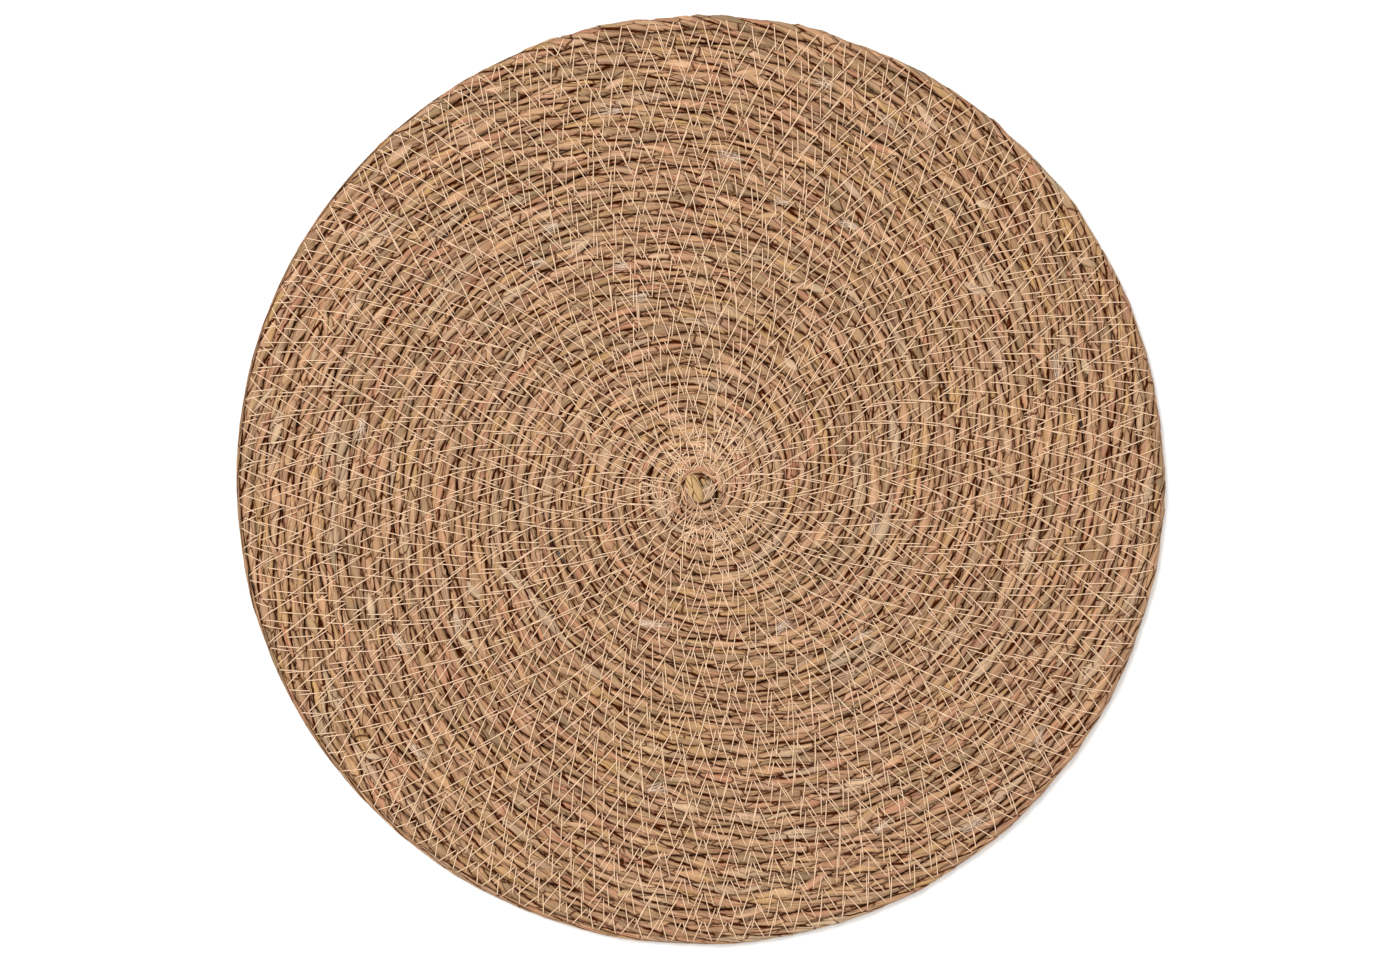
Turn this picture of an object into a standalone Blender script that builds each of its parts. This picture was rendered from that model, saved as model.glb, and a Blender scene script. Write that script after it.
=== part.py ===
"""Round seagrass placemat: one twisted rope coiled flat in a spiral and sewn to itself.

Metres, +Z up. The origin is on the mat's axis, at the level of the surface it lies on.
The mat is one closed solid: a flat underside, a rounded rim and a shallow spiral groove
on top, where each turn of the rope meets the next. The rope starts with a blunt end in
the middle, winds outwards clockwise as seen from above, and is thinned away along its
last turn, so that the rim stays a true circle.
"""

import math

import bmesh
import bpy

MM = 0.001

# Driving sizes
MAT_RADIUS = 190.0 * MM
ROPE_HEIGHT = 5.4 * MM
GROOVE_DEPTH = 1.5 * MM
TURNS = 34
STEPS_PER_TURN = 60

# The rim, from its widest line down to the edge of the flat underside
WIDEST_HEIGHT = 2.8 * MM
LOWER_RIM_HEIGHT = 1.0 * MM
LOWER_RIM_INSET = 0.6 * MM
FOOT_INSET = 1.8 * MM

# The coil begins a little off the mat's axis, and its outer turns are centred on it
START_OFFSET_Y = -5.0 * MM
OFFSET_FADES_BY = 75.0 * MM

# The thinned last turn keeps this much width until its very end
LEAST_TAIL_WIDTH = 0.8 * MM

# Edges sharper than this are drawn sharp
SHARP_ANGLE = math.radians(50.0)

SEAGRASS_COLOUR = (0.42, 0.28, 0.15, 1.0)
SEAGRASS_ROUGHNESS = 0.75

PITCH = MAT_RADIUS / TURNS
GROOVE_HEIGHT = ROPE_HEIGHT - GROOVE_DEPTH
STEPS = TURNS * STEPS_PER_TURN


def clear_scene():
    for old in list(bpy.data.objects):
        bpy.data.objects.remove(old, do_unlink=True)


def seagrass_material():
    material = bpy.data.materials.new("seagrass")
    material.use_nodes = True
    shader = material.node_tree.nodes["Principled BSDF"]
    shader.inputs["Base Color"].default_value = SEAGRASS_COLOUR
    shader.inputs["Roughness"].default_value = SEAGRASS_ROUGHNESS
    shader.inputs["Metallic"].default_value = 0.0
    return material


def place(step, radius, height):
    """A point at one step of the winding, which runs clockwise from the +Y side.

    Near the middle it moves over with the start of the coil."""
    angle = math.pi / 2 - 2 * math.pi * step / STEPS_PER_TURN
    shift = START_OFFSET_Y * max(0.0, 1.0 - radius / OFFSET_FADES_BY)
    return (radius * math.cos(angle), radius * math.sin(angle) + shift, height)


def groove_radius(step):
    """How far out the groove on the rope's inner side lies. The last one is the rim."""
    if step >= STEPS:
        return MAT_RADIUS
    return min(PITCH * step / STEPS_PER_TURN, MAT_RADIUS - LEAST_TAIL_WIDTH)


class Corners:
    """The solid's corners, each kept under its own name."""

    def __init__(self, mesh):
        self.mesh = mesh
        self.named = {}

    def add(self, name, point):
        self.named[name] = self.mesh.verts.new(point)

    def face(self, *names):
        self.mesh.faces.new([self.named[name] for name in names])


def add_rope_corners(corners):
    """The groove and the crest of every turn, in the order of the winding."""
    for step in range(STEPS):
        inner = groove_radius(step)
        width = groove_radius(step + STEPS_PER_TURN) - inner
        crest_height = GROOVE_HEIGHT + GROOVE_DEPTH * min(1.0, width / PITCH)
        corners.add(("groove", step), place(step, inner, GROOVE_HEIGHT))
        corners.add(("crest", step), place(step, inner + width / 2, crest_height))


def add_rim_corners(corners):
    rings = {
        "widest": (MAT_RADIUS, WIDEST_HEIGHT),
        "lower": (MAT_RADIUS - LOWER_RIM_INSET, LOWER_RIM_HEIGHT),
        "foot": (MAT_RADIUS - FOOT_INSET, 0.0),
    }
    for ring, (radius, height) in rings.items():
        for step in range(STEPS_PER_TURN):
            corners.add((ring, step), place(step, radius, height))


def outer_edge(step):
    """The corner on the rope's outer side: the next turn's groove, or else the rim."""
    beyond = step + STEPS_PER_TURN
    if beyond < STEPS:
        return ("groove", beyond)
    return ("widest", beyond % STEPS_PER_TURN)


def add_rope_faces(corners):
    """The inner and outer slope of the rope's back, turn after turn."""
    for step in range(STEPS - 1):
        after = step + 1
        corners.face(("groove", step), ("crest", step), ("crest", after), ("groove", after))
        corners.face(("crest", step), outer_edge(step), outer_edge(after), ("crest", after))


def add_start_faces(corners):
    """The floor inside the first turn, and the rope's blunt end standing on it."""
    for step in range(1, STEPS_PER_TURN):
        corners.face(("groove", 0), ("groove", step), ("groove", step + 1))
    corners.face(("groove", 0), ("groove", STEPS_PER_TURN), ("crest", 0))


def add_tail_faces(corners):
    """The last step, where the thinned tail runs out on the rim."""
    last = STEPS - 1
    corners.face(("groove", last), ("crest", last), ("widest", 0))
    corners.face(("crest", last), outer_edge(last), ("widest", 0))


def add_rim_faces(corners):
    """The rounded rim below its widest line, and the flat underside."""
    for upper, lower in (("widest", "lower"), ("lower", "foot")):
        for step in range(STEPS_PER_TURN):
            after = (step + 1) % STEPS_PER_TURN
            corners.face((upper, step), (lower, step), (lower, after), (upper, after))
    corners.face(*[("foot", step) for step in range(STEPS_PER_TURN)])


def make_coiled_mat():
    mesh = bmesh.new()
    corners = Corners(mesh)
    add_rope_corners(corners)
    add_rim_corners(corners)
    add_rope_faces(corners)
    add_start_faces(corners)
    add_tail_faces(corners)
    add_rim_faces(corners)
    bmesh.ops.recalc_face_normals(mesh, faces=mesh.faces)
    data = bpy.data.meshes.new("coiled_mat")
    mesh.to_mesh(data)
    mesh.free()
    data.materials.append(seagrass_material())
    data.shade_smooth()
    data.set_sharp_from_angle(angle=SHARP_ANGLE)
    mat = bpy.data.objects.new("coiled_mat", data)
    bpy.context.scene.collection.objects.link(mat)
    return mat


clear_scene()
make_coiled_mat()
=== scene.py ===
"""Round seagrass placemat, seen from straight above.

One two-ply rope of twisted seagrass leaves is coiled flat, clockwise from the middle, and
a sewing machine has joined each turn to the next with rows of zigzag stitches. Metres, +Z
up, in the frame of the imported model, whose plain disc the rope takes the place of.
"""

import math

import bpy
import numpy as np
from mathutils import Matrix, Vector
from mathutils.bvhtree import BVHTree


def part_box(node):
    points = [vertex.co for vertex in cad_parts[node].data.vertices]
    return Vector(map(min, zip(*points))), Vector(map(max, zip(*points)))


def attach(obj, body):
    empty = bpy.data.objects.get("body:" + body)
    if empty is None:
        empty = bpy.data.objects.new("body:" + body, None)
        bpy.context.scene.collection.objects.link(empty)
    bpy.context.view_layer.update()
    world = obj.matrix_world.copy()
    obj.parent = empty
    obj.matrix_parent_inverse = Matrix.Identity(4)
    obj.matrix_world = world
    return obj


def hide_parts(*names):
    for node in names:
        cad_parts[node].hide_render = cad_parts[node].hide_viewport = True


MM = 0.001

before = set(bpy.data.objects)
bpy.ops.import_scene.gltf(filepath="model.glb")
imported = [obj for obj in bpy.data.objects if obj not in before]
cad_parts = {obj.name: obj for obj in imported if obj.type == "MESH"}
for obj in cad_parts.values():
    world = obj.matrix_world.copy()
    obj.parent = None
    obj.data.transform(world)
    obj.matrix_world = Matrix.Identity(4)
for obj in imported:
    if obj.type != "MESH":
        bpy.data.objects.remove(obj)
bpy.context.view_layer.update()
MAT_LOW, MAT_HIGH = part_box("coiled_mat")

# ---------------------------------------------------------------- the mat's sizes

MAT_RADIUS = (MAT_HIGH.x - MAT_LOW.x) / 2
TURNS = 34
PITCH = MAT_RADIUS / TURNS

# Where the twisted rope begins and ends, in turns from the middle
FIRST_TURN = 0.1
LAST_TURN = TURNS - 0.05

# The coil begins a little off the mat's axis, and its outer turns are centred on it
START_OFFSET_Y = -5.0 * MM
OFFSET_FADES_BY = 75.0 * MM

# The rope's section: how far it reaches up and down from its middle, how hard each turn
# presses into the next, and how thin the tail gets at the rim
ROPE_MIDDLE_Z = 2.78 * MM
ROPE_HALF_HEIGHT = 2.6 * MM
LOWEST_ROPE_Z = 0.23 * MM
SIDE_PRESS = 1.07
TAIL_WIDTH = 0.35 * MM
THINNING_FROM = 0.6
TAIL_HEIGHT_SHARE = 0.3

# One ply's oval section, in shares of the rope's own half width and half height. A power
# under 1 makes the oval squarer, and the foot spreads where the rope lies on the table
PLY_OFFSET = 0.36
PLY_HALF_DEPTH = 0.62
PLY_HALF_WIDTH = 0.96
PLY_SQUARENESS = 0.84
FOOT_SPREAD = 0.47

# Where the shade of the groove between two turns begins, in shares of half a turn's width,
# and the last turns, whose outer side is the rim and has no groove
GROOVE_FROM = 0.84
RIM_TURNS = 1.2

# The lay: the length of one full twist of the two plies, how much longer a ply stays on top
# than at the sides, and how far the leaves slant across one ply's back
LAY_LENGTH = 41.0 * MM
PRESSED_FLAT = 0.27
LEAF_DRIFT = 0.6

# How handwork strays along the rope: by how much, over what length, and a seed. The last
# three have one entry for each ply
SLOW_TWIST = (2.8, 140.0 * MM, 11)
QUICK_TWIST = (0.8, 26.0 * MM, 12)
ROPE_THICKNESS = (0.07, 33.0 * MM, 2)
SIDE_SWAY = (0.5 * MM, 21.0 * MM, 3)
HEIGHT_SWAY = (0.1 * MM, 26.0 * MM, 4)
PLY_SWELLING = ((0.16, 12.0 * MM, 30), (0.16, 12.0 * MM, 31))
PLY_BUMPS = ((0.05, 5.0 * MM, 32), (0.05, 5.0 * MM, 33))
PLY_BLEACHING = ((2.0, 55.0 * MM, 50), (2.0, 55.0 * MM, 51))

# Only the strongest bleaching shows
BLEACHING_FROM = 1.3

# The mesh of a ply: the angles of the points round its section, measured from its crest.
# The seam edge is where it meets the other ply
RING_SPACING = 2.4 * MM
SECTION_ANGLES = np.radians(
    [-115.0, -84.0, -56.0, -28.0, 0.0, 28.0, 56.0, 84.0, 115.0, 180.0]
)
SEAM_EDGE = SECTION_ANGLES[-2]


def turns_at(along):
    """Turns wound since the middle, for a length of rope measured from there."""
    return (-1.0 + np.sqrt(1.0 + 4.0 * along / (math.pi * PITCH))) / 2.0


def length_at(turns):
    """The length of rope from the middle, after this many turns."""
    return math.pi * PITCH * (turns**2 + turns)


def rope_width(turns):
    """Full width, up to the groove of the next turn, or to the rim on the thinned tail."""
    return np.clip(MAT_RADIUS - PITCH * turns, TAIL_WIDTH, PITCH)


ROPE_LENGTH = length_at(TURNS)


def from_middle(radius, turns, height):
    """Points at these distances from the coil's middle, clockwise from the +Y side."""
    angle = math.pi / 2 - 2 * math.pi * turns
    shift = START_OFFSET_Y * np.clip(1.0 - radius / OFFSET_FADES_BY, 0.0, 1.0)
    x = radius * np.cos(angle)
    y = radius * np.sin(angle) + shift
    return np.stack(np.broadcast_arrays(x, y, height), axis=-1)


def wander(along, amount, reach, seed):
    """Smooth random values, up to this amount either way, that change over about this reach."""
    knots = np.random.default_rng(seed).uniform(-1.0, 1.0, int(ROPE_LENGTH / reach) + 8)
    place = np.clip(along / reach, 0.0, len(knots) - 2.001)
    low = place.astype(int)
    share = place - low
    share = share * share * (3.0 - 2.0 * share)
    return amount * (knots[low] * (1.0 - share) + knots[low + 1] * share)


def twist_at(along):
    """How far the first ply has turned about the rope's middle, in radians.

    The rope is pressed flat, so a ply crosses its top slowly and rolls over at its sides."""
    steady = 2 * math.pi * along / LAY_LENGTH
    twist = steady + wander(along, *SLOW_TWIST) + wander(along, *QUICK_TWIST)
    return twist - PRESSED_FLAT * np.sin(2 * twist)


def squared_off(value):
    """A sine or cosine for a ply's oval, raised to a power that makes the oval squarer."""
    return np.sign(value) * np.abs(value) ** PLY_SQUARENESS


def on_ply(along, around_ply, ply, lift=0.0):
    """Points on a ply's surface, and how near each lies to a groove between turns, 0 to 1.

    along is the length of rope from the middle, around_ply the angle round the ply's own
    oval section from its crest, and lift a height above the surface."""
    turns = turns_at(along)
    lay = twist_at(along) + math.pi * ply
    width = rope_width(turns)
    fullness = np.clip(width / (THINNING_FROM * PITCH), 0.0, 1.0)
    half_width = width / 2 * SIDE_PRESS
    half_height = ROPE_HALF_HEIGHT * (TAIL_HEIGHT_SHARE + (1 - TAIL_HEIGHT_SHARE) * fullness)
    half_height = half_height * (1 + wander(along, *ROPE_THICKNESS))

    swell = 1 + wander(along, *PLY_SWELLING[ply]) + wander(along, *PLY_BUMPS[ply])
    outward = PLY_OFFSET + PLY_HALF_DEPTH * swell * squared_off(np.cos(around_ply))
    sideways = PLY_HALF_WIDTH * swell * squared_off(np.sin(around_ply))

    across = outward * np.cos(lay) - sideways * np.sin(lay)
    up = outward * np.sin(lay) + sideways * np.cos(lay)
    across = across * (1 + FOOT_SPREAD * np.clip(-up, 0.0, 1.0))

    middle = PITCH * turns + width / 2 + wander(along, *SIDE_SWAY) * fullness
    tilt = lay + around_ply
    radius = middle + across * half_width + lift * np.cos(tilt)
    height = ROPE_MIDDLE_Z + wander(along, *HEIGHT_SWAY)
    height = height + up * half_height + lift * np.sin(tilt)
    points = from_middle(np.maximum(radius, 0.0), turns, np.maximum(height, LOWEST_ROPE_Z))
    # how near the groove between turns, where the leaf material paints shade; none on the rim
    groove = (np.abs(across) * SIDE_PRESS - GROOVE_FROM) / (1.0 - GROOVE_FROM)
    groove = np.clip(groove, 0.0, 1.0)
    at_rim = (turns > TURNS - RIM_TURNS) & (across > 0)
    return points, np.where(at_rim, 0.0, groove)


# ---------------------------------------------------------------- meshes


def tube_mesh(name, rings, marks, material):
    """One mesh of closed tubes from rings of points: (tube, ring, point, xyz).

    marks holds a number for every point under each attribute's name."""
    tubes, count, around, _ = rings.shape
    index = np.arange(tubes * count * around).reshape(tubes, count, around)
    beside = np.roll(index, -1, axis=2)
    quads = np.stack(
        [index[:, :-1], beside[:, :-1], beside[:, 1:], index[:, 1:]], axis=-1
    ).reshape(-1, 4)
    start_caps = index[:, 0, ::-1]
    end_caps = index[:, -1]
    faces = quads.tolist() + start_caps.tolist() + end_caps.tolist()
    mesh = bpy.data.meshes.new(name)
    mesh.from_pydata(rings.reshape(-1, 3).tolist(), [], faces)
    mesh.shade_smooth()
    for mark, values in marks.items():
        layer = mesh.attributes.new(mark, "FLOAT", "POINT")
        layer.data.foreach_set("value", np.broadcast_to(values, index.shape).ravel())
    mesh.materials.append(material)
    piece = bpy.data.objects.new(name, mesh)
    bpy.context.scene.collection.objects.link(piece)
    return piece


# ---------------------------------------------------------------- materials

# Sizes on a leaf or ply: the lengths run along the rope, and the widths across it
BUNDLE_LENGTH = 24.0 * MM
BUNDLE_WIDTH = 5.6 * MM
PUFF_LENGTH = 12.0 * MM
PUFF_WIDTH = 3.2 * MM
PUFF_HEIGHT = 0.45 * MM
VEIN_LENGTH = 11.0 * MM
VEIN_SPACING = 0.34 * MM
VEIN_HEIGHT = 0.22 * MM
DRY_STREAK_LENGTH = 8.0 * MM
DRY_STREAK_WIDTH = 1.6 * MM
RAGGED_EDGE_LENGTH = 5.0 * MM
RAGGED_EDGE_WIDTH = 6.0 * MM

# Slow changes of shade and tone along the rope, too wide to change across it
SHADE_DRIFT_LENGTH = 900.0 * MM
TONE_DRIFT_LENGTH = 300.0 * MM
DRIFT_WIDTH = 1000.0 * MM

# Straw, tan, ochre and pinkish brown, with some olive and rust
LEAF_COLOURS = [
    (0.00, "#C09268"),
    (0.11, "#B4865F"),
    (0.22, "#C79971"),
    (0.32, "#AA7D5E"),
    (0.43, "#C1976C"),
    (0.53, "#B58B68"),
    (0.62, "#C19661"),
    (0.71, "#C99B7A"),
    (0.80, "#9F805B"),
    (0.88, "#C3976F"),
    (0.95, "#B87F5E"),
    (1.00, "#D5AD86"),
]

# The start of the rope shows the golden inner leaf
GOLDEN_COLOURS = [(0.0, "#CDA166"), (1.0, "#E2BC88")]
BLEACHED = "#CFB696"
# Painted shade, mixed into the leaf colour in wrinkles, seams and grooves
CREVICE_PAINTED_SHADE = "#421803"

# The thread's own twist, drawn as a line of painted shade, and the specks on a bare fibre
THREAD_LAY = 0.9 * MM
THREAD_AND_TWIST_SHADE_COLOURS = [(0.0, "#CBA37C"), (0.2, "#F0CEAA")]
FIBRE_SPECKS_PER_METRE = 900.0
FIBRE_COLOURS = [(0.3, "#D8BA9C"), (0.65, "#EED8C2")]


def linear(hex_colour):
    """A hex sRGB colour as linear red, green, blue and alpha."""
    parts = [int(hex_colour[i : i + 2], 16) / 255 for i in (1, 3, 5)]
    light = [p / 12.92 if p <= 0.04045 else ((p + 0.055) / 1.055) ** 2.4 for p in parts]
    return (*light, 1.0)


def add(tree, kind, sockets=None, **settings):
    """Adds a node. sockets gives each input a value, or the node or output it is linked from."""
    node = tree.nodes.new(kind)
    for name, value in settings.items():
        setattr(node, name, value)
    for name, value in (sockets or {}).items():
        if isinstance(value, bpy.types.Node):
            value = value.outputs[0]
        if isinstance(value, bpy.types.NodeSocket):
            tree.links.new(value, node.inputs[name])
        else:
            node.inputs[name].default_value = value
    return node


def fill_ramp(ramp_node, stops):
    """Sets a colour ramp's stops from (position, hex colour) pairs."""
    elements = ramp_node.color_ramp.elements
    while len(elements) < len(stops):
        elements.new(1.0)
    for element, (position, colour) in zip(elements, stops):
        element.position = position
        element.color = linear(colour)


def new_material(name):
    """A material with nodes, its node tree and its shader."""
    material = bpy.data.materials.new(name)
    material.use_nodes = True
    return material, material.node_tree, material.node_tree.nodes["Principled BSDF"]


def seagrass_material(name, colours):
    """Dried seagrass leaf: split, dampened, twisted while soft and dried in the sun.

    It is matt straw with a waxy skin that keeps a faint sheen along its fine veins, and
    each leaf has dried to its own shade, from straw and ochre to olive and rust."""
    material, tree, shader = new_material(name)
    mark = {
        key: add(tree, "ShaderNodeAttribute", attribute_name=key).outputs["Fac"]
        for key in ("leaf", "along", "across", "seam", "groove", "pale")
    }

    def patch_place(length, width, shift=0.0):
        """Places on the leaf, counted in patches of this length and width."""
        run = add(tree, "ShaderNodeMath", {0: mark["along"], 1: length}, operation="DIVIDE")
        turn = add(tree, "ShaderNodeMath", {0: mark["across"], 1: width}, operation="DIVIDE")
        return add(tree, "ShaderNodeCombineXYZ", {"X": run, "Y": turn, "Z": shift})

    def streaks(length, width, detail, shift):
        """Soft streaks that run along the leaf."""
        sockets = {"Vector": patch_place(length, width, shift), "Scale": 1.0, "Detail": detail}
        return add(tree, "ShaderNodeTexNoise", {**sockets, "Roughness": 0.6}).outputs["Fac"]

    def patches_of(length, width, **settings):
        """Separate patches, each with a colour of its own to draw chances from."""
        sockets = {"Vector": patch_place(length, width), "Scale": 1.0}
        settings = {"voronoi_dimensions": "2D", **settings}
        return add(tree, "ShaderNodeTexVoronoi", sockets, **settings).outputs

    # a leaf that is wound round the outside is one piece with one shade and no wrinkles
    single = add(tree, "ShaderNodeMath", {0: mark["leaf"], 1: 1.0}, operation="MINIMUM")
    own_chance = add(tree, "ShaderNodeTexWhiteNoise", {"W": mark["leaf"]}, noise_dimensions="1D")

    # the plies are bundles of leaf of different shades, puffed up between their wrinkles
    bundle = patches_of(BUNDLE_LENGTH, BUNDLE_WIDTH)["Color"]
    bundle_chance = add(tree, "ShaderNodeSeparateColor", {"Color": bundle})
    puff = patches_of(PUFF_LENGTH, PUFF_WIDTH)["Color"]
    puff_hue, puff_tone, _ = add(tree, "ShaderNodeSeparateColor", {"Color": puff}).outputs
    wrinkle = patches_of(PUFF_LENGTH, PUFF_WIDTH, feature="DISTANCE_TO_EDGE")["Distance"]
    wrinkle = add(tree, "ShaderNodeMath", {0: wrinkle, 1: single}, operation="MAXIMUM")

    # the shade of a bundle, moved a little by its puffs and by slow drifts along the rope
    sockets = {"Factor": single, 2: bundle_chance, 3: own_chance.outputs["Value"]}
    chance = add(tree, "ShaderNodeMix", sockets)
    shade_drift = streaks(SHADE_DRIFT_LENGTH, DRIFT_WIDTH, 1.0, 0.0)
    for source, share in ((shade_drift, 0.35), (puff_hue, 0.12)):
        sockets = {0: source, 1: share, 2: chance}
        chance = add(tree, "ShaderNodeMath", sockets, operation="MULTIPLY_ADD")
    chance = add(tree, "ShaderNodeMath", {0: chance, 1: 1.0}, operation="PINGPONG")
    ramp = add(tree, "ShaderNodeValToRGB", {"Fac": chance})
    fill_ramp(ramp, colours)
    sockets = {"Factor": mark["pale"], 6: ramp, 7: linear(BLEACHED)}
    shade = add(tree, "ShaderNodeMix", sockets, data_type="RGBA").outputs[2]

    # veins, fine ridges a third of a millimetre apart, painted lighter on the crests and darker
    # in the hollows as light and shade, wider streaks where the skin has dried pale, and
    # slow drifts along the rope
    veins = streaks(VEIN_LENGTH, VEIN_SPACING, 3.0, mark["leaf"])
    dry = streaks(DRY_STREAK_LENGTH, DRY_STREAK_WIDTH, 3.0, mark["leaf"])
    tone_drift = streaks(TONE_DRIFT_LENGTH, DRIFT_WIDTH, 1.0, 5.0)
    tone = 1.0
    for source, low, high, darkest, lightest in (
        (veins, 0.28, 0.74, 0.6, 1.18),
        (dry, 0.3, 0.7, 0.76, 1.11),
        (puff_tone, 0.0, 1.0, 0.8, 1.1),
        (tone_drift, 0.3, 0.7, 0.93, 1.07),
    ):
        ends = {"From Min": low, "From Max": high, "To Min": darkest, "To Max": lightest}
        factor = add(tree, "ShaderNodeMapRange", {"Value": source, **ends})
        tone = add(tree, "ShaderNodeMath", {0: tone, 1: factor}, operation="MULTIPLY")

    # painted shade in the wrinkles, in the seams of the lay and in the grooves between turns,
    # whose edges are as uneven as the leaves that meet there
    ragged = streaks(RAGGED_EDGE_LENGTH, RAGGED_EDGE_WIDTH, 2.0, 0.0)
    ends = {"From Min": 0.3, "From Max": 0.7, "To Min": -0.1, "To Max": 0.1}
    uneven = add(tree, "ShaderNodeMapRange", {"Value": ragged, **ends})
    seam = add(tree, "ShaderNodeMath", {0: mark["seam"], 1: uneven}, operation="ADD")
    sockets = {0: uneven, 1: 4.0, 2: mark["groove"]}
    groove = add(tree, "ShaderNodeMath", sockets, operation="MULTIPLY_ADD")
    light = 1.0
    for source, low, high, at_low, at_high in (
        (wrinkle, 0.0, 0.075, 0.05, 1.0),
        (seam, 0.88, 1.0, 1.0, 0.0),
        (groove, 0.25, 1.0, 1.0, 0.0),
    ):
        ends = {"From Min": low, "From Max": high, "To Min": at_low, "To Max": at_high}
        sockets = {"Value": source, **ends}
        factor = add(tree, "ShaderNodeMapRange", sockets, interpolation_type="SMOOTHSTEP")
        light = add(tree, "ShaderNodeMath", {0: light, 1: factor}, operation="MULTIPLY")
    sockets = {0: shade, "Scale": tone}
    leaf_colour = add(tree, "ShaderNodeVectorMath", sockets, operation="SCALE")
    sockets = {"Factor": light, 6: linear(CREVICE_PAINTED_SHADE), 7: leaf_colour}
    colour = add(tree, "ShaderNodeMix", sockets, data_type="RGBA").outputs[2]
    tree.links.new(colour, shader.inputs["Base Color"])

    # the puffs bulge between their wrinkles, and the veins stand up from them
    ends = {"From Min": 0.0, "From Max": 0.28, "To Min": 0.0, "To Max": 1.0}
    puffed = add(tree, "ShaderNodeMapRange", {"Value": wrinkle, **ends})
    sockets = {"Height": puffed, "Strength": 0.7, "Distance": PUFF_HEIGHT}
    swelling = add(tree, "ShaderNodeBump", sockets)
    sockets = {"Height": veins, "Strength": 0.5, "Distance": VEIN_HEIGHT, "Normal": swelling}
    ridges = add(tree, "ShaderNodeBump", sockets)
    tree.links.new(ridges.outputs[0], shader.inputs["Normal"])

    # the waxy skin shines a little, less where it has dried pale, and not under the painted
    # shade of the crevices
    ends = {"From Min": 0.3, "From Max": 0.7, "To Min": 0.52, "To Max": 0.74}
    matt = add(tree, "ShaderNodeMapRange", {"Value": dry, **ends})
    tree.links.new(matt.outputs[0], shader.inputs["Roughness"])
    shader.inputs["IOR"].default_value = 1.45
    glint = add(tree, "ShaderNodeMath", {0: light, 1: 0.4}, operation="MULTIPLY")
    tree.links.new(glint.outputs[0], shader.inputs["Specular IOR Level"])
    return material


def thread_material(name):
    """Peach polyester sewing thread: two spun yarns, dyed and twisted tightly together.

    It has a soft silky sheen, and a line of painted shade where one yarn crosses the other."""
    material, tree, shader = new_material(name)
    along = add(tree, "ShaderNodeAttribute", attribute_name="along").outputs["Fac"]
    across = add(tree, "ShaderNodeAttribute", attribute_name="across").outputs["Fac"]
    # the thread's own twist, at its real size, with painted shade between its yarns
    turn = add(tree, "ShaderNodeMath", {0: along, 1: THREAD_LAY}, operation="DIVIDE")
    phase = add(tree, "ShaderNodeMath", {0: turn, 1: across}, operation="ADD")
    wave = add(tree, "ShaderNodeMath", {0: phase, 1: 0.5}, operation="PINGPONG")
    shade = add(tree, "ShaderNodeValToRGB", {"Fac": wave})
    fill_ramp(shade, THREAD_AND_TWIST_SHADE_COLOURS)
    tree.links.new(shade.outputs["Color"], shader.inputs["Base Color"])
    shader.inputs["Roughness"].default_value = 0.5
    shader.inputs["IOR"].default_value = 1.5
    shader.inputs["Sheen Weight"].default_value = 0.15
    return material


def fibre_material(name):
    """Bare seagrass fibre, where a leaf end has frayed and its waxy skin has worn away.

    The sun has bleached it, so it is pale, dull and a little speckled."""
    material, tree, shader = new_material(name)
    along = add(tree, "ShaderNodeAttribute", attribute_name="along").outputs["Fac"]
    sockets = {"W": along, "Scale": FIBRE_SPECKS_PER_METRE}
    noise = add(tree, "ShaderNodeTexNoise", sockets, noise_dimensions="1D")
    shade = add(tree, "ShaderNodeValToRGB", {"Fac": noise.outputs["Fac"]})
    fill_ramp(shade, FIBRE_COLOURS)
    tree.links.new(shade.outputs["Color"], shader.inputs["Base Color"])
    shader.inputs["Roughness"].default_value = 0.75
    shader.inputs["IOR"].default_value = 1.5
    return material


# ---------------------------------------------------------------- the rope


def ply_marks(along, around_ply, ply, groove):
    """What the leaf material reads at each point of a ply or of a leaf wound round it.

    leaf is a leaf's number, or 0 for a whole ply, along and across are metres over its
    skin, and seam, groove and pale say how near a seam, how near a groove and how bleached."""
    shape = np.broadcast(along, around_ply).shape
    leaf_turn = around_ply + LEAF_DRIFT * twist_at(along)
    # near the seam where the two plies meet, the leaf material paints shade
    away_from_crest = np.abs(around_ply) / SEAM_EDGE
    bleached = np.clip(wander(along, *PLY_BLEACHING[ply]) - BLEACHING_FROM, 0.0, 0.5)
    return {
        "leaf": np.zeros(shape),
        "along": np.broadcast_to(along, shape),
        "across": np.broadcast_to(leaf_turn * PLY_HALF_WIDTH * ROPE_HALF_HEIGHT, shape),
        "seam": np.broadcast_to(np.minimum(away_from_crest, 1.0), shape),
        "groove": groove,
        "pale": np.broadcast_to(bleached, shape),
    }


def make_ply(name, ply, material):
    """One ply of the rope over its whole length."""
    rings = int(ROPE_LENGTH / RING_SPACING)
    along = np.linspace(length_at(FIRST_TURN), length_at(LAST_TURN), rings)[:, None]
    around_ply = SECTION_ANGLES[None, :]
    points, groove = on_ply(along, around_ply, ply)
    marks = ply_marks(along, around_ply, ply, groove)
    return tube_mesh(name, points[None], marks, material)


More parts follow.
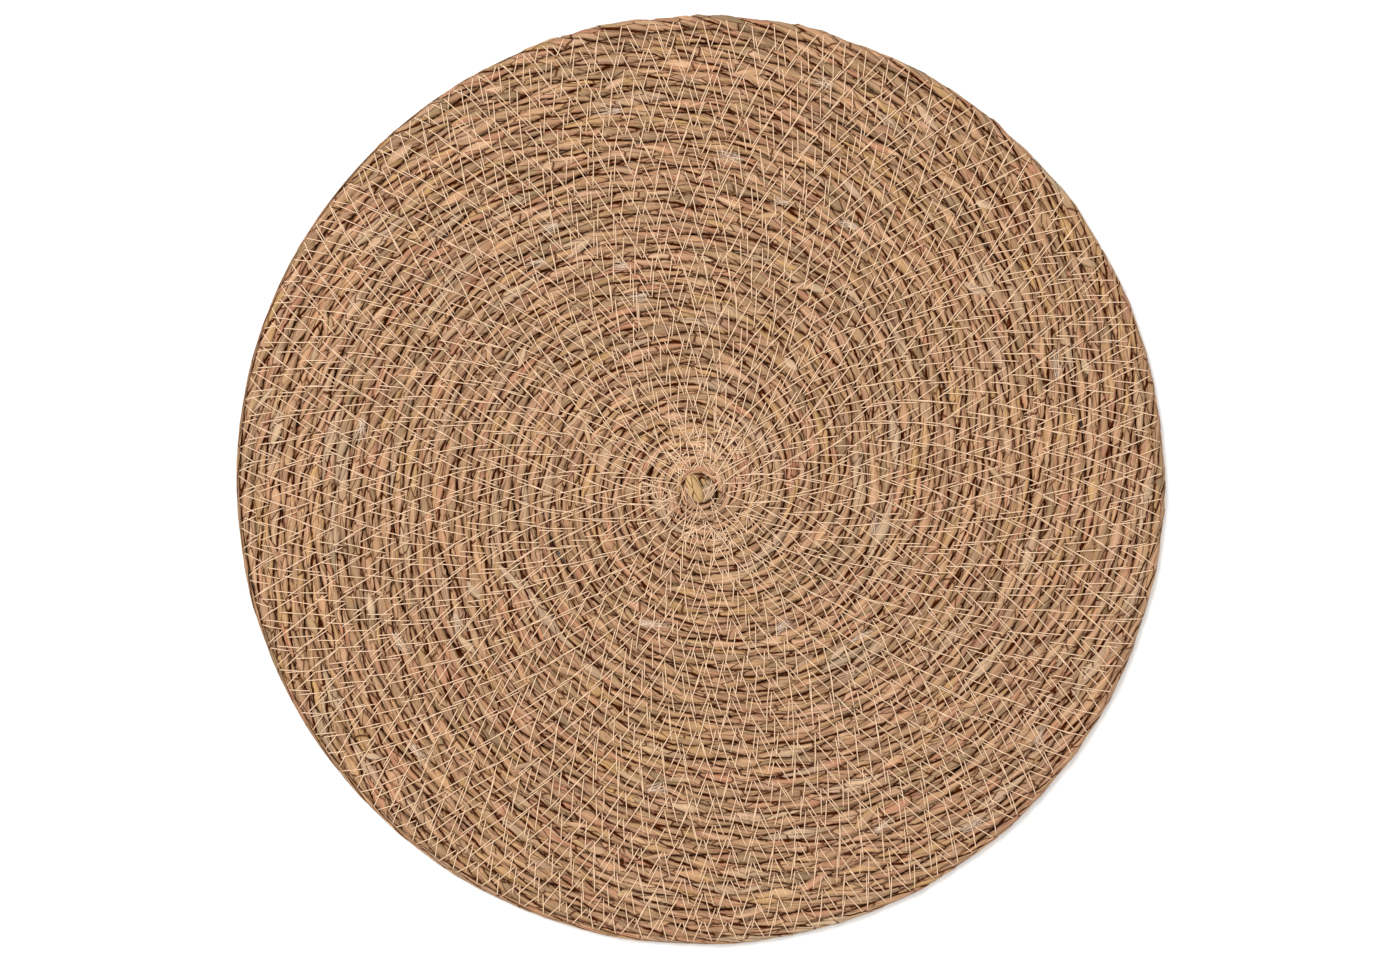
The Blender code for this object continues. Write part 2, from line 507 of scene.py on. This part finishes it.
# Leaves wound round the plies, each a shallow blade that tapers to both ends. The section
# of a blade goes from one edge to the other, in shares of its half width, with its lift
WRAPS = 1400
WRAPS_ON_TOP = 0.88
LAST_WRAPPED_TURN = TURNS - 1.4
WRAP_LENGTHS = (7.0 * MM, 17.0 * MM)
WRAP_HALF_ANGLES = (24.0, 50.0)
WRAP_FACING_SPREAD = 62.0
WRAP_LIFTS = (0.7, 2.3)
WRAP_STEPS = 9
WRAP_SECTION = np.array([
    (-1.0, -0.06 * MM),
    (-0.5, 0.13 * MM),
    (0.5, 0.13 * MM),
    (1.0, -0.06 * MM),
    (0.0, -0.4 * MM),
])
WRAP_EDGE = math.radians(110.0)
WRAP_SLANT = 0.8 * LEAF_DRIFT
# The share of the groove's painted shade that a wound leaf takes
WRAP_GROOVE_SHARE = 0.7


def make_wraps(name, seed, material):
    """Single leaves that stand a little proud of the plies they were twisted into."""
    chance = np.random.default_rng(seed)
    top_side = chance.random(WRAPS) < WRAPS_ON_TOP
    middle = length_at(LAST_WRAPPED_TURN) * chance.random(WRAPS)
    facing = np.where(top_side, 90.0, -90.0)
    facing = np.radians(facing + chance.uniform(-WRAP_FACING_SPREAD, WRAP_FACING_SPREAD, WRAPS))
    length = chance.uniform(*WRAP_LENGTHS, WRAPS)
    half_angle = np.radians(chance.uniform(*WRAP_HALF_ANGLES, WRAPS))
    proud = chance.uniform(*WRAP_LIFTS, WRAPS)
    share = np.linspace(0.0, 1.0, WRAP_STEPS)[:, None]
    taper = np.sin(math.pi * np.clip(share, 0.02, 0.98)) ** 0.7
    offsets, lifts = WRAP_SECTION.T[:, None, :]
    rings, all_marks = [], []
    for i in range(WRAPS):
        from_crest = facing[i] - twist_at(middle[i])
        ply = 0 if math.cos(from_crest) > 0 else 1
        from_crest = math.remainder(from_crest - math.pi * ply, 2 * math.pi)
        along = np.maximum(middle[i] + length[i] * (share - 0.5), 0.0)
        slant = WRAP_SLANT * (twist_at(middle[i]) - twist_at(along))
        around_ply = from_crest + slant + offsets * half_angle[i] * taper
        around_ply = np.clip(around_ply, -WRAP_EDGE, WRAP_EDGE)
        lift = np.where(lifts > 0, lifts * taper * proud[i], lifts)
        points, groove = on_ply(along, around_ply, ply, lift)
        rings.append(points)
        marks = ply_marks(along, around_ply, ply, WRAP_GROOVE_SHARE * groove)
        marks["leaf"] = np.full(around_ply.shape, 1.0 + i)
        # painted shade along the blade's edges, where they dip into the ply
        marks["seam"] = np.broadcast_to(offsets**2, around_ply.shape)
        all_marks.append(marks)
    marks = {key: np.stack([m[key] for m in all_marks]) for key in all_marks[0]}
    return tube_mesh(name, np.stack(rings), marks, material)


# ---------------------------------------------------------------- the stitches

# One row of zigzags over a joint between turns: the rope that each full stitch takes up,
# how far inside the joint the row's middle lies, and how far the needle swings to each side
STITCH_PERIOD = 10.2 * MM
STITCH_MIDDLE_INSET = 1.35 * MM
STITCH_HALF_WIDTH = 4.9 * MM
RIM_MARGIN = 1.3 * MM
MIDDLE_MARGIN = 0.6 * MM

# How far apart two legs end along the rope, on the outer side and on the inner one, and how
# much they lean, as a share of a full stitch
OUTER_GAP = 2.1 * MM
INNER_GAP = 0.9 * MM
STITCH_LEAN = 0.06

# The stitches begin on this turn, shorter than on the outer turns, and grow to full length
FIRST_STITCHED_TURN = 2.7
CENTRE_PERIOD_SHARE = 0.8
PERIOD_GROWTH = 0.2
FULL_PERIOD_TURN = 26.0
PERIOD_SPREAD = (0.86, 1.14)

# How far the needle's holes stray, with more near the middle, up to this turn
STRAY = 0.35 * MM
CENTRE_STRAY = 1.5 * MM
STEADY_FROM_TURN = 7.0

# The thread: how deep its ends go into the rope, and how high its middle lies over the
# leaf. The stitches over the middle are finer and have partly sunk in
THREAD_RADIUS = 0.21 * MM
CENTRE_THREAD_RADIUS = 0.15 * MM
THREAD_DIVE = 1.2 * MM
THREAD_LIFT = 0.13 * MM
CENTRE_LIFTS = (-0.4 * MM, 0.08 * MM)

# Its mesh: the points round it and along each leg, and how many places under a leg are
# felt for the rope's height, from well above or below
THREAD_SIDES = 4
TOP_STEPS = 6
UNDER_STEPS = 3
FEELERS = 25
FEELER_START_Z = 50.0 * MM

# The short stitches over the first turns start in bunches, drawn evenly over a disc
KNOTS = 58
STITCHES_AT_KNOT = 6
CENTRE_REACH = 24.0 * MM
CENTRE_SHARES = (0.02, 1.0)
CENTRE_Y = 0.6 * START_OFFSET_Y
KNOT_SPREAD = 1.3 * MM
KNOT_FAN = 0.5
CENTRE_STITCH_LENGTHS = (3.5 * MM, 9.0 * MM)

# The blunt start of the rope and the bend beside it: x, y, half length, half width, height.
# The stitches keep off these shares of the blunt start's length and width
START_HEADING = math.radians(-66.0)
START_LOBES = [
    (-2.2 * MM, -3.4 * MM, 7.0 * MM, 3.2 * MM, 6.4 * MM),
    (3.0 * MM, -0.8 * MM, 5.2 * MM, 2.6 * MM, 3.5 * MM),
]
CLEAR_LENGTH = 0.65
CLEAR_WIDTH = 0.75


def toward(heading):
    """One metre in this direction, seen from above."""
    return np.array([math.cos(heading), math.sin(heading)])


def random_place(chance, reach, shares):
    """A place drawn evenly over a disc, between two shares of its area, and its bearing."""
    away = reach * math.sqrt(chance.uniform(*shares))
    bearing = chance.uniform(0.0, 2 * math.pi)
    return away * toward(bearing), bearing


def over_rope_start(legs):
    """Which stitch legs would cross the blunt end of the rope that the coil begins with."""
    x, y, half_length, half_width, _ = START_LOBES[0]
    shares = np.linspace(0.0, 1.0, 9)[None, :, None]
    away = legs[:, :1] + (legs[:, 1:] - legs[:, :1]) * shares - np.array([x, y])
    ahead = away[..., 0] * math.cos(START_HEADING) + away[..., 1] * math.sin(START_HEADING)
    aside = away[..., 1] * math.cos(START_HEADING) - away[..., 0] * math.sin(START_HEADING)
    near_length = np.abs(ahead) < CLEAR_LENGTH * half_length
    near_width = np.abs(aside) < CLEAR_WIDTH * half_width
    return (near_length & near_width).any(axis=1)


def zigzag_legs(seed):
    """Start and end of every straight leg: (leg, end, xy), in the order of sewing."""
    chance = np.random.default_rng(seed)
    legs = []
    length = length_at(FIRST_STITCHED_TURN)
    last = length_at(LAST_TURN)
    while length < last:
        turns = float(turns_at(length))
        growth = PERIOD_GROWTH * min(1.0, turns / FULL_PERIOD_TURN)
        period = STITCH_PERIOD * (CENTRE_PERIOD_SHARE + growth)
        period = period * chance.uniform(*PERIOD_SPREAD)
        middle = PITCH * turns - STITCH_MIDDLE_INSET
        stray = STRAY + CENTRE_STRAY * max(0.0, 1.0 - turns / STEADY_FROM_TURN)
        outer = middle + STITCH_HALF_WIDTH + chance.normal(0, stray)
        outer = min(outer, MAT_RADIUS - RIM_MARGIN)
        inner = middle - STITCH_HALF_WIDTH + chance.normal(0, stray)
        inner = max(inner, MIDDLE_MARGIN)
        run = (period - OUTER_GAP - INNER_GAP) / 2
        lean = STITCH_LEAN * period + chance.normal(0, stray / 2)
        marks = np.cumsum([0.0, run - lean, INNER_GAP, run + lean])
        at = [float(turns_at(length + m)) for m in marks]
        legs.append(((outer, at[0]), (inner, at[1])))
        legs.append(((inner, at[2]), (outer, at[3])))
        length += period
    ends = np.array(legs)
    legs = from_middle(ends[..., 0], ends[..., 1], 0.0)[..., :2]
    return legs[~over_rope_start(legs)]


def centre_legs(seed):
    """Short stitches that start in bunches, all ways over the first turns of the coil."""
    chance = np.random.default_rng(seed)
    legs = []
    for _ in range(KNOTS):
        knot, _ = random_place(chance, CENTRE_REACH, CENTRE_SHARES)
        knot = knot + np.array([0.0, CENTRE_Y])
        aim = chance.uniform(0.0, 2 * math.pi)
        for _ in range(STITCHES_AT_KNOT):
            heading = aim + chance.normal(0.0, KNOT_FAN)
            start = knot + chance.normal(0.0, KNOT_SPREAD, 2)
            reach = chance.uniform(*CENTRE_STITCH_LENGTHS)
            legs.append((start, start + reach * toward(heading)))
    legs = np.array(legs)
    return legs[~over_rope_start(legs)]


def surface_finder(pieces, direction):
    """A function for the rope's height at a list of places, seen from above or below."""
    corners, faces = [], []
    for piece in pieces:
        first = len(corners)
        corners.extend(vertex.co[:] for vertex in piece.data.vertices)
        for face in piece.data.polygons:
            faces.append([first + corner for corner in face.vertices])
    tree = BVHTree.FromPolygons(corners, faces)
    ray = Vector((0.0, 0.0, -direction))

    def heights(places):
        """The surface's height at each place, or the rope's middle where there is none."""
        found = []
        for x, y in places:
            hit = tree.ray_cast(Vector((x, y, FEELER_START_Z * direction)), ray)[0]
            found.append(ROPE_MIDDLE_Z if hit is None else hit.z)
        return np.array(found)

    return heights


def taut(distances, heights):
    """The line of a thread pulled tight over these heights, at the same distances."""
    kept = []
    for point in zip(distances, heights):
        while len(kept) >= 2:
            (x0, z0), (x1, z1) = kept[-2], kept[-1]
            if (z1 - z0) * (point[0] - x0) > (point[1] - z0) * (x1 - x0):
                break
            kept.pop()
        kept.append(point)
    xs, zs = zip(*kept)
    return np.interp(distances, xs, zs)


def unit(steps):
    """These steps, each made one metre long."""
    return steps / np.maximum(np.linalg.norm(steps, axis=-1, keepdims=True), 1e-9)


def rings_round(lines, radius, sides):
    """Rings of points round each line: (line, ring, point, xyz).

    With them come each point's share of the way round and its length along the line."""
    forward = unit(np.gradient(lines, axis=1))
    side = unit(np.cross(lines[:, -1] - lines[:, 0], [0.0, 0.0, 1.0]))
    side = np.broadcast_to(side[:, None, :], lines.shape)
    above = np.cross(side, forward)
    turned = np.arange(sides) / sides
    turn = (np.arange(sides) * 2 * math.pi / sides)[None, None, :, None]
    rings = (
        lines[:, :, None, :]
        + radius * np.cos(turn) * side[:, :, None, :]
        + radius * np.sin(turn) * above[:, :, None, :]
    )
    gaps = np.linalg.norm(np.diff(lines, axis=1), axis=-1)
    run = np.concatenate([np.zeros((len(lines), 1)), np.cumsum(gaps, axis=1)], axis=1)
    return rings, turned[None, None, :], run[:, :, None]


def make_threads(name, legs, height_at, direction, steps, radius, lifts, material):
    """Thin tubes for stitch legs, pulled tight over the rope, with their ends let into it."""
    feelers = np.linspace(0.0, 1.0, FEELERS)
    shares = np.linspace(0.0, 1.0, steps)
    lines = []
    for (start, end), lift in zip(legs, lifts):
        heights = height_at(start + (end - start) * feelers[:, None]) * direction
        pulled = np.interp(shares, feelers, taut(feelers, heights)) + lift
        flat = start + (end - start) * shares[:, None]
        level = np.concatenate([[pulled[0] - THREAD_DIVE], pulled, [pulled[-1] - THREAD_DIVE]])
        flat = np.concatenate([flat[:1], flat, flat[-1:]])
        lines.append(np.concatenate([flat, (level * direction)[:, None]], axis=1))
    rings, turned, run = rings_round(np.array(lines), radius, THREAD_SIDES)
    return tube_mesh(name, rings, {"along": run, "across": turned}, material)


# ---------------------------------------------------------------- loose leaves and fibres

# The blunt start of the rope: its mesh, and how many folds its leaf has and how deep
START_RINGS = 17
START_SIDES = 24
START_FOLDS = 5
START_FOLD_DEPTH = 0.08

# Loose leaves: the shares of the mat's area they lie over, how far they turn from the run
# of the rope with the spread of that, their sizes, and how bleached they may be
LOOSE_LEAVES = 90
LOOSE_LEAF_SHARES = (0.03, 0.92)
LOOSE_LEAF_TURN = (0.15, 0.3)
LOOSE_LEAF_LENGTHS = (7.0 * MM, 15.0 * MM)
LOOSE_LEAF_HALF_WIDTHS = (1.0 * MM, 2.2 * MM)
LOOSE_LEAF_ARCH = 0.42 * MM
LOOSE_LEAF_BLEACHING = [0.0, 0.0, 0.0, 0.2, 0.5]
FIRST_LOOSE_LEAF = 5000.0

# A loose leaf's section, in shares of its half width and of its arch
BLADE_STEPS = 9
BLADE_SECTION = np.array(
    [(-1.0, -0.1), (-0.55, 0.75), (0.0, 1.0), (0.55, 0.75), (1.0, -0.1), (0.0, -0.6)]
)

# Frayed ends: where they lie, how far they turn from the run of the rope, and their sizes
TUFTS = 22
TUFT_SHARES = (0.08, 0.94)
TUFT_TURN = 0.25
TUFT_SIZES = (0.7, 1.5)
TUFT_SPREAD = 0.7 * MM

# The fibres of a frayed end: how they fan out, curl, and lift off the rope to their tips
FIBRES_IN_TUFT = 15
FIBRE_FAN = 0.12
FIBRE_CURL = 0.2
FIBRE_LENGTHS = (4.0 * MM, 9.0 * MM)
FIBRE_LIFT = 0.05 * MM
FIBRE_TIP_LIFT = 0.35 * MM
FIBRE_RADIUS = 0.1 * MM
FIBRE_STEPS = 5
FIBRE_SIDES = 3


def make_rope_start(name, material):
    """The blunt end that the coil is wound round, and the first bend of the rope beside it."""
    share = np.linspace(-0.98, 0.98, START_RINGS)[:, None]
    around = np.linspace(0.0, 2 * math.pi, START_SIDES, endpoint=False)[None, :]
    fold = (1 - np.abs(np.sin(START_FOLDS / 2 * around))) ** 2
    girth = (1 - np.abs(share) ** 3.0) ** 0.5 * (1 - START_FOLD_DEPTH * fold)
    rings = []
    for x, y, half_length, half_width, top in START_LOBES:
        aside = half_width * girth * np.cos(around)
        ahead = np.broadcast_to(half_length * share, girth.shape)
        middle = (top + LOWEST_ROPE_Z) / 2
        height = middle + (top - middle) * girth * np.sin(around)
        x = x + ahead * math.cos(START_HEADING) - aside * math.sin(START_HEADING)
        y = y + ahead * math.sin(START_HEADING) + aside * math.cos(START_HEADING)
        rings.append(np.stack([x, y, height], axis=-1))
    _, _, half_length, half_width, _ = START_LOBES[0]
    marks = {
        "leaf": 0.0,
        "along": half_length * share,
        "across": around * half_width,
        # painted shade down the two sides of the blunt start
        "seam": 1.0 - np.abs(np.sin(around)),
        "groove": 0.0,
        "pale": 0.0,
    }
    return tube_mesh(name, np.array(rings), marks, material)


def make_loose_leaves(name, height_at, seed, material):
    """Leaf tips that have sprung out of the lay and lie flat over the turns."""
    chance = np.random.default_rng(seed)
    lines, widths, marks = [], [], []
    share = np.linspace(0.0, 1.0, BLADE_STEPS)
    taper = np.sin(math.pi * (0.03 + 0.94 * share)) ** 0.75
    for number in range(LOOSE_LEAVES):
        middle, bearing = random_place(chance, MAT_RADIUS, LOOSE_LEAF_SHARES)
        heading = bearing + math.pi / 2 + chance.normal(*LOOSE_LEAF_TURN)
        length = chance.uniform(*LOOSE_LEAF_LENGTHS)
        flat = middle + (share[:, None] - 0.5) * length * toward(heading)
        heights = taut(share, height_at(flat))
        lines.append(np.concatenate([flat, heights[:, None]], axis=1))
        widths.append(chance.uniform(*LOOSE_LEAF_HALF_WIDTHS) * taper)
        marks.append((FIRST_LOOSE_LEAF + number, chance.choice(LOOSE_LEAF_BLEACHING), length))
    lines, widths = np.array(lines), np.array(widths)[:, :, None]
    side = unit(np.cross(lines[:, -1] - lines[:, 0], [0.0, 0.0, 1.0]))
    offsets, lifts = BLADE_SECTION.T
    rings = lines[:, :, None, :] + (widths * offsets)[..., None] * side[:, None, None, :]
    rings[..., 2] += LOOSE_LEAF_ARCH * lifts * (widths / widths.max(axis=1, keepdims=True))
    leaf, pale, length = (np.array(column)[:, None, None] for column in zip(*marks))
    all_marks = {
        "leaf": leaf,
        "along": leaf * 0.1 + length * share[None, :, None],
        "across": widths * offsets,
        # painted shade along the loose leaf's edges
        "seam": np.abs(offsets) ** 2,
        "groove": 0.0,
        "pale": pale,
    }
    return tube_mesh(name, rings, all_marks, material)


def make_tufts(name, height_at, seed, material):
    """Frayed ends of leaves: little sprays of pale fibres on top of the rope."""
    chance = np.random.default_rng(seed)
    lines = []
    share = np.linspace(0.0, 1.0, FIBRE_STEPS)[:, None]
    for _ in range(TUFTS):
        root, bearing = random_place(chance, MAT_RADIUS, TUFT_SHARES)
        aim = bearing + math.pi / 2 + chance.normal(0.0, TUFT_TURN)
        size = chance.uniform(*TUFT_SIZES)
        for _ in range(FIBRES_IN_TUFT):
            heading = aim + chance.normal(0.0, FIBRE_FAN)
            turn = heading + chance.normal(0.0, FIBRE_CURL) * share[:, 0]
            reach = size * chance.uniform(*FIBRE_LENGTHS)
            steps = np.stack([np.cos(turn), np.sin(turn)], axis=-1)
            flat = root + chance.normal(0.0, TUFT_SPREAD, 2) + share * reach * steps
            heights = taut(share[:, 0], height_at(flat)) + FIBRE_LIFT
            heights = heights + chance.uniform(0.0, FIBRE_TIP_LIFT) * share[:, 0]
            lines.append(np.concatenate([flat, heights[:, None]], axis=1))
    rings, turned, run = rings_round(np.array(lines), FIBRE_RADIUS, FIBRE_SIDES)
    return tube_mesh(name, rings, {"along": run, "across": turned}, material)


# ---------------------------------------------------------------- the scene

TABLE_HALF_WIDTH = 3.0
TABLE_COLOUR = "#FBFAF8"

# Each light's place, width in metres and power in watts, and the strength of the room's own
WINDOW_LIGHT = ((-0.85, 0.75, 1.8), 1.1, 41.0)
FILL_LIGHT = ((1.1, -0.9, 1.3), 1.2, 13.0)
ROOM_LIGHT = 0.55

LENS_MM = 85.0
SENSOR_MM = 36.0
FRAME_WIDTH_IN_MATS = 1.51


def make_floor():
    """A table top far wider than the mat: smooth board, painted an even matt white."""
    half = TABLE_HALF_WIDTH
    mesh = bpy.data.meshes.new("floor")
    corners = [(-half, -half, 0.0), (half, -half, 0.0), (half, half, 0.0), (-half, half, 0.0)]
    mesh.from_pydata(corners, [], [(0, 1, 2, 3)])
    floor = bpy.data.objects.new("floor", mesh)
    bpy.context.scene.collection.objects.link(floor)
    material, _, shader = new_material("white_table")
    shader.inputs["Base Color"].default_value = linear(TABLE_COLOUR)
    shader.inputs["Roughness"].default_value = 0.9
    mesh.materials.append(material)
    return floor


def area_light(name, place, size, power):
    """A soft square light that faces the middle of the mat."""
    data = bpy.data.lights.new(name, "AREA")
    data.shape = "SQUARE"
    data.size = size
    data.energy = power
    light = bpy.data.objects.new(name, data)
    light.location = place
    light.rotation_euler = (-Vector(place)).to_track_quat("-Z", "Y").to_euler()
    bpy.context.scene.collection.objects.link(light)


def light_scene():
    """A large soft light from the upper left, a weaker one opposite, and a white room."""
    world = bpy.data.worlds.new("white_room")
    world.use_nodes = True
    background = world.node_tree.nodes["Background"]
    background.inputs["Color"].default_value = (1.0, 1.0, 1.0, 1.0)
    background.inputs["Strength"].default_value = ROOM_LIGHT
    bpy.context.scene.world = world
    area_light("window_light", *WINDOW_LIGHT)
    area_light("fill_light", *FILL_LIGHT)
    bpy.context.scene.view_settings.view_transform = "Standard"


def make_camera():
    """Straight above the mat, which fills nearly the whole height of the frame."""
    data = bpy.data.cameras.new("camera")
    data.lens = LENS_MM
    data.sensor_width = SENSOR_MM
    width = FRAME_WIDTH_IN_MATS * 2 * MAT_RADIUS
    camera = bpy.data.objects.new("camera", data)
    camera.location = (0.0, 0.0, ROPE_MIDDLE_Z + width * LENS_MM / SENSOR_MM)
    bpy.context.scene.collection.objects.link(camera)
    bpy.context.scene.camera = camera


make_camera()
light_scene()
floor = make_floor()

seagrass = seagrass_material("dried_seagrass", LEAF_COLOURS)
golden_seagrass = seagrass_material("golden_seagrass", GOLDEN_COLOURS)
peach_thread = thread_material("peach_thread")
frayed_fibre = fibre_material("frayed_fibre")

first_ply = make_ply("first_ply", 0, seagrass)
second_ply = make_ply("second_ply", 1, seagrass)
plies = [first_ply, second_ply]

wraps = make_wraps("wound_leaves", seed=31, material=seagrass)
rope_start = make_rope_start("rope_start", golden_seagrass)

bare_rope = surface_finder([*plies, wraps, rope_start], 1)
loose_leaves = make_loose_leaves("loose_leaves", bare_rope, seed=41, material=seagrass)
rope_top = surface_finder([*plies, wraps, rope_start, loose_leaves], 1)
rope_under = surface_finder(plies, -1)

legs = zigzag_legs(seed=5)
half = len(legs) // 2
crossed = centre_legs(seed=6)
on_top = np.full(len(legs), THREAD_LIFT)
against = np.zeros(len(legs))
sunk = np.random.default_rng(7).permutation(np.linspace(*CENTRE_LIFTS, len(crossed)))
top = (rope_top, 1, TOP_STEPS)
under = (rope_under, -1, UNDER_STEPS)
threads = [
    make_threads("zigzag_thread_inner", legs[:half], *top, THREAD_RADIUS, on_top, peach_thread),
    make_threads("zigzag_thread_outer", legs[half:], *top, THREAD_RADIUS, on_top, peach_thread),
    make_threads("zigzag_thread_under", legs, *under, THREAD_RADIUS, against, peach_thread),
    make_threads("centre_thread", crossed, *top, CENTRE_THREAD_RADIUS, sunk, peach_thread),
]
tufts = make_tufts("frayed_tufts", rope_top, seed=43, material=frayed_fibre)

leaf_pieces = [second_ply, wraps, rope_start, loose_leaves, tufts]
for piece in [first_ply, *leaf_pieces]:
    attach(piece, "root")
for piece in threads:
    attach(piece, "root")
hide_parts("coiled_mat")
